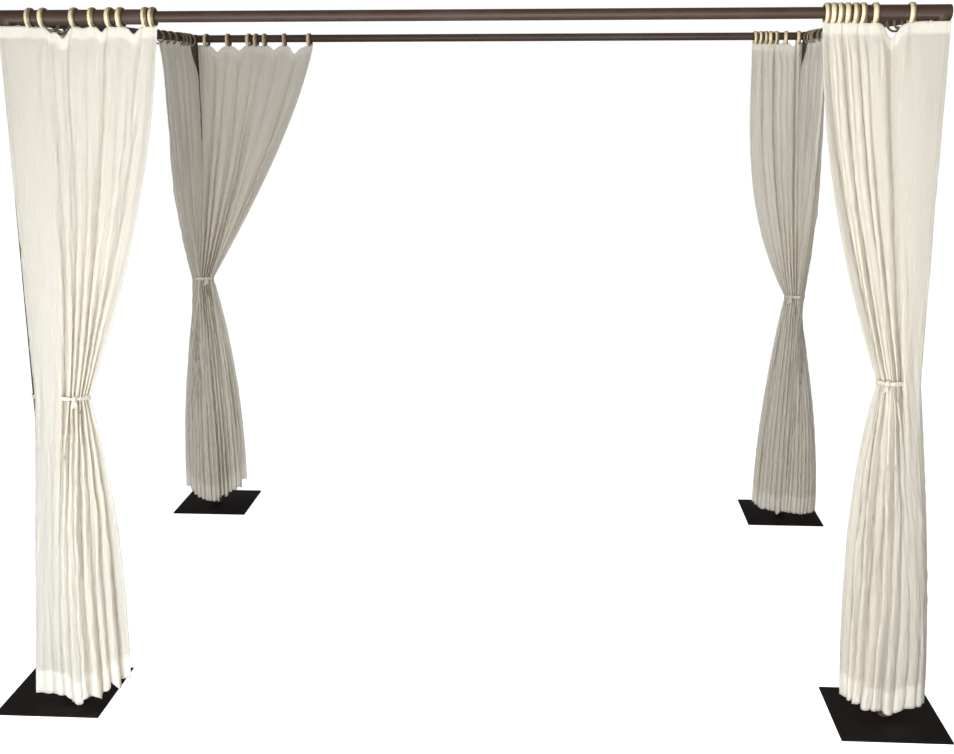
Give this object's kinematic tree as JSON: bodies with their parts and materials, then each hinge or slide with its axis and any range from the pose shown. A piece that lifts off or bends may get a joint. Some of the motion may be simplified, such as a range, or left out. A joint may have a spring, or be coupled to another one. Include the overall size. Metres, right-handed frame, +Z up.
{
  "type": "gazebo",
  "caption": "Free-standing open gazebo frame of round tube posts and poles on flat square feet, with ring-hung curtains gathered and tied back to each corner post.",
  "frame": {"origin": "centre of the rectangle of the four feet, on the floor", "axes": "+Z up, -Y to the front of the frame as the picture sees it, +X to the right along the long poles"},
  "size_m": [3.38, 2.48, 2.4513],
  "materials": {
    "plate_steel": "steel plate painted near-black brown, satin, with light scuffs",
    "frame_steel": "round steel tube, dark brown paint, satin",
    "curtain_cloth": "ivory cotton voile, plain weave, narrow vertical folds",
    "ring_wood": "turned pale wood curtain rings, clear matt lacquer, sewn to the cloth heading",
    "tie_cloth": "ivory cotton tie of the curtain's own cloth"
  },
  "bodies": {
    "root": {"plate_front_left": "plate_steel", "plate_front_right": "plate_steel", "plate_back_left": "plate_steel", "plate_back_right": "plate_steel", "post_front_left": "frame_steel", "post_front_right": "frame_steel", "post_back_left": "frame_steel", "post_back_right": "frame_steel", "corner_front_left": "frame_steel", "corner_front_right": "frame_steel", "corner_back_left": "frame_steel", "corner_back_right": "frame_steel", "pole_front": "frame_steel", "pole_back": "frame_steel", "pole_left": "frame_steel", "pole_right": "frame_steel", "curtain_front_left_front": "curtain_cloth", "curtain_front_left_side": "curtain_cloth", "curtain_front_right_front": "curtain_cloth", "curtain_front_right_side": "curtain_cloth", "curtain_back_left_back": "curtain_cloth", "curtain_back_left_side": "curtain_cloth", "curtain_back_right_back": "curtain_cloth", "curtain_back_right_side": "curtain_cloth", "rings_front_left_front": "ring_wood", "rings_front_left_side": "ring_wood", "rings_front_right_front": "ring_wood", "rings_front_right_side": "ring_wood", "rings_back_left_back": "ring_wood", "rings_back_left_side": "ring_wood", "rings_back_right_back": "ring_wood", "rings_back_right_side": "ring_wood", "tie_front_left": "tie_cloth", "tie_front_right": "tie_cloth", "tie_back_left": "tie_cloth", "tie_back_right": "tie_cloth"}
  },
  "joints": []
}
